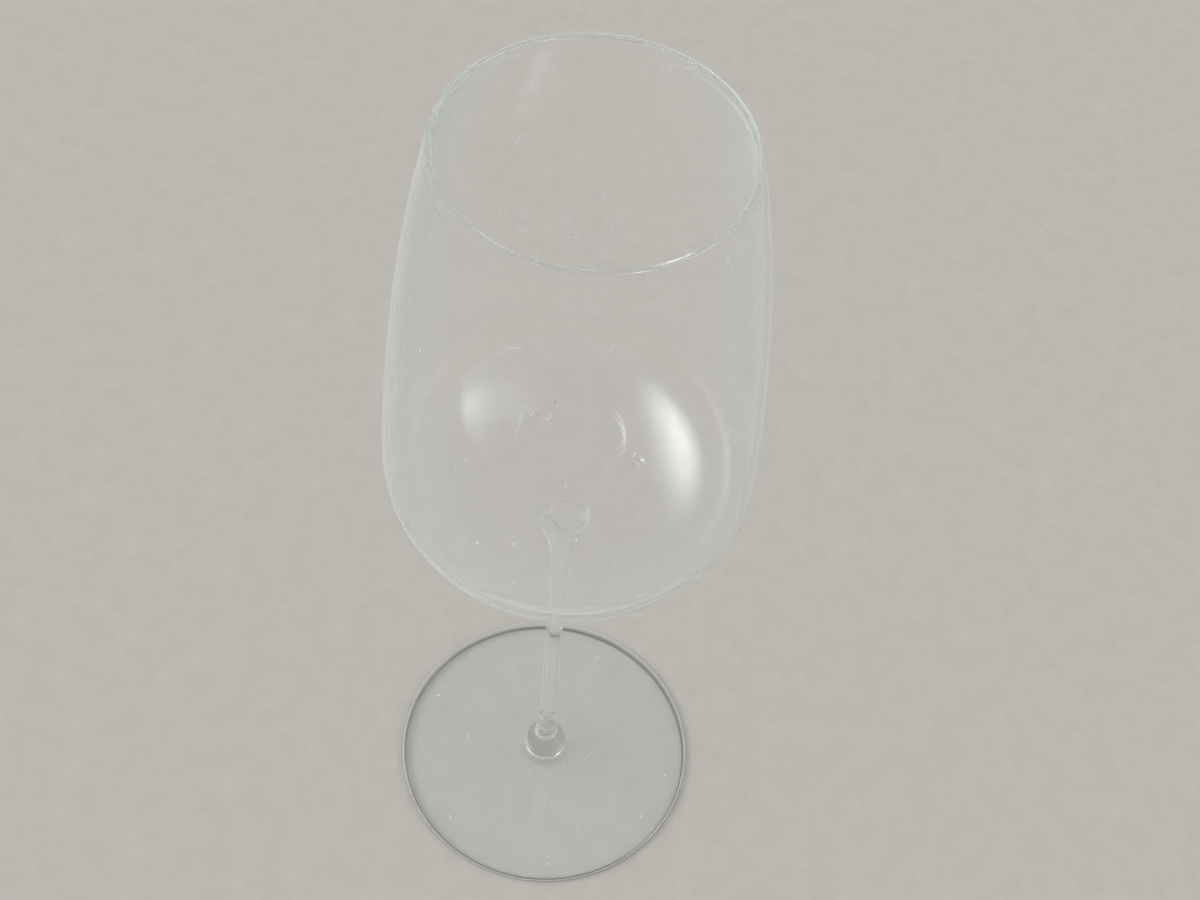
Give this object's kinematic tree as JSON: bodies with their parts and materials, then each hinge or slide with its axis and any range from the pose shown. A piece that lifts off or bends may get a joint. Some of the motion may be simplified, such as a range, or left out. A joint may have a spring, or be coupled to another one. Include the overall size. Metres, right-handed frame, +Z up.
{
  "type": "wine glass",
  "caption": "Tall stemmed wine glass with a thin egg-shaped bowl, a slim drawn stem flared into the bowl, a rounded knop and a broad shallow foot, all in clear glass.",
  "frame": {"origin": "centre of the ring that the glass stands on, in the plane of the surface under it", "axes": "+Z up along the axis of the glass, from the foot to the rim; the glass is round about Z, so X and Y have no front"},
  "size_m": [0.0768, 0.0768, 0.225],
  "materials": {
    "clear_glass": "fire-polished, clear with a faint cool green-blue tint at the edges"
  },
  "bodies": {
    "root": {"foot": "clear_glass", "knop": "clear_glass", "stem": "clear_glass", "bowl": "clear_glass"}
  },
  "joints": []
}
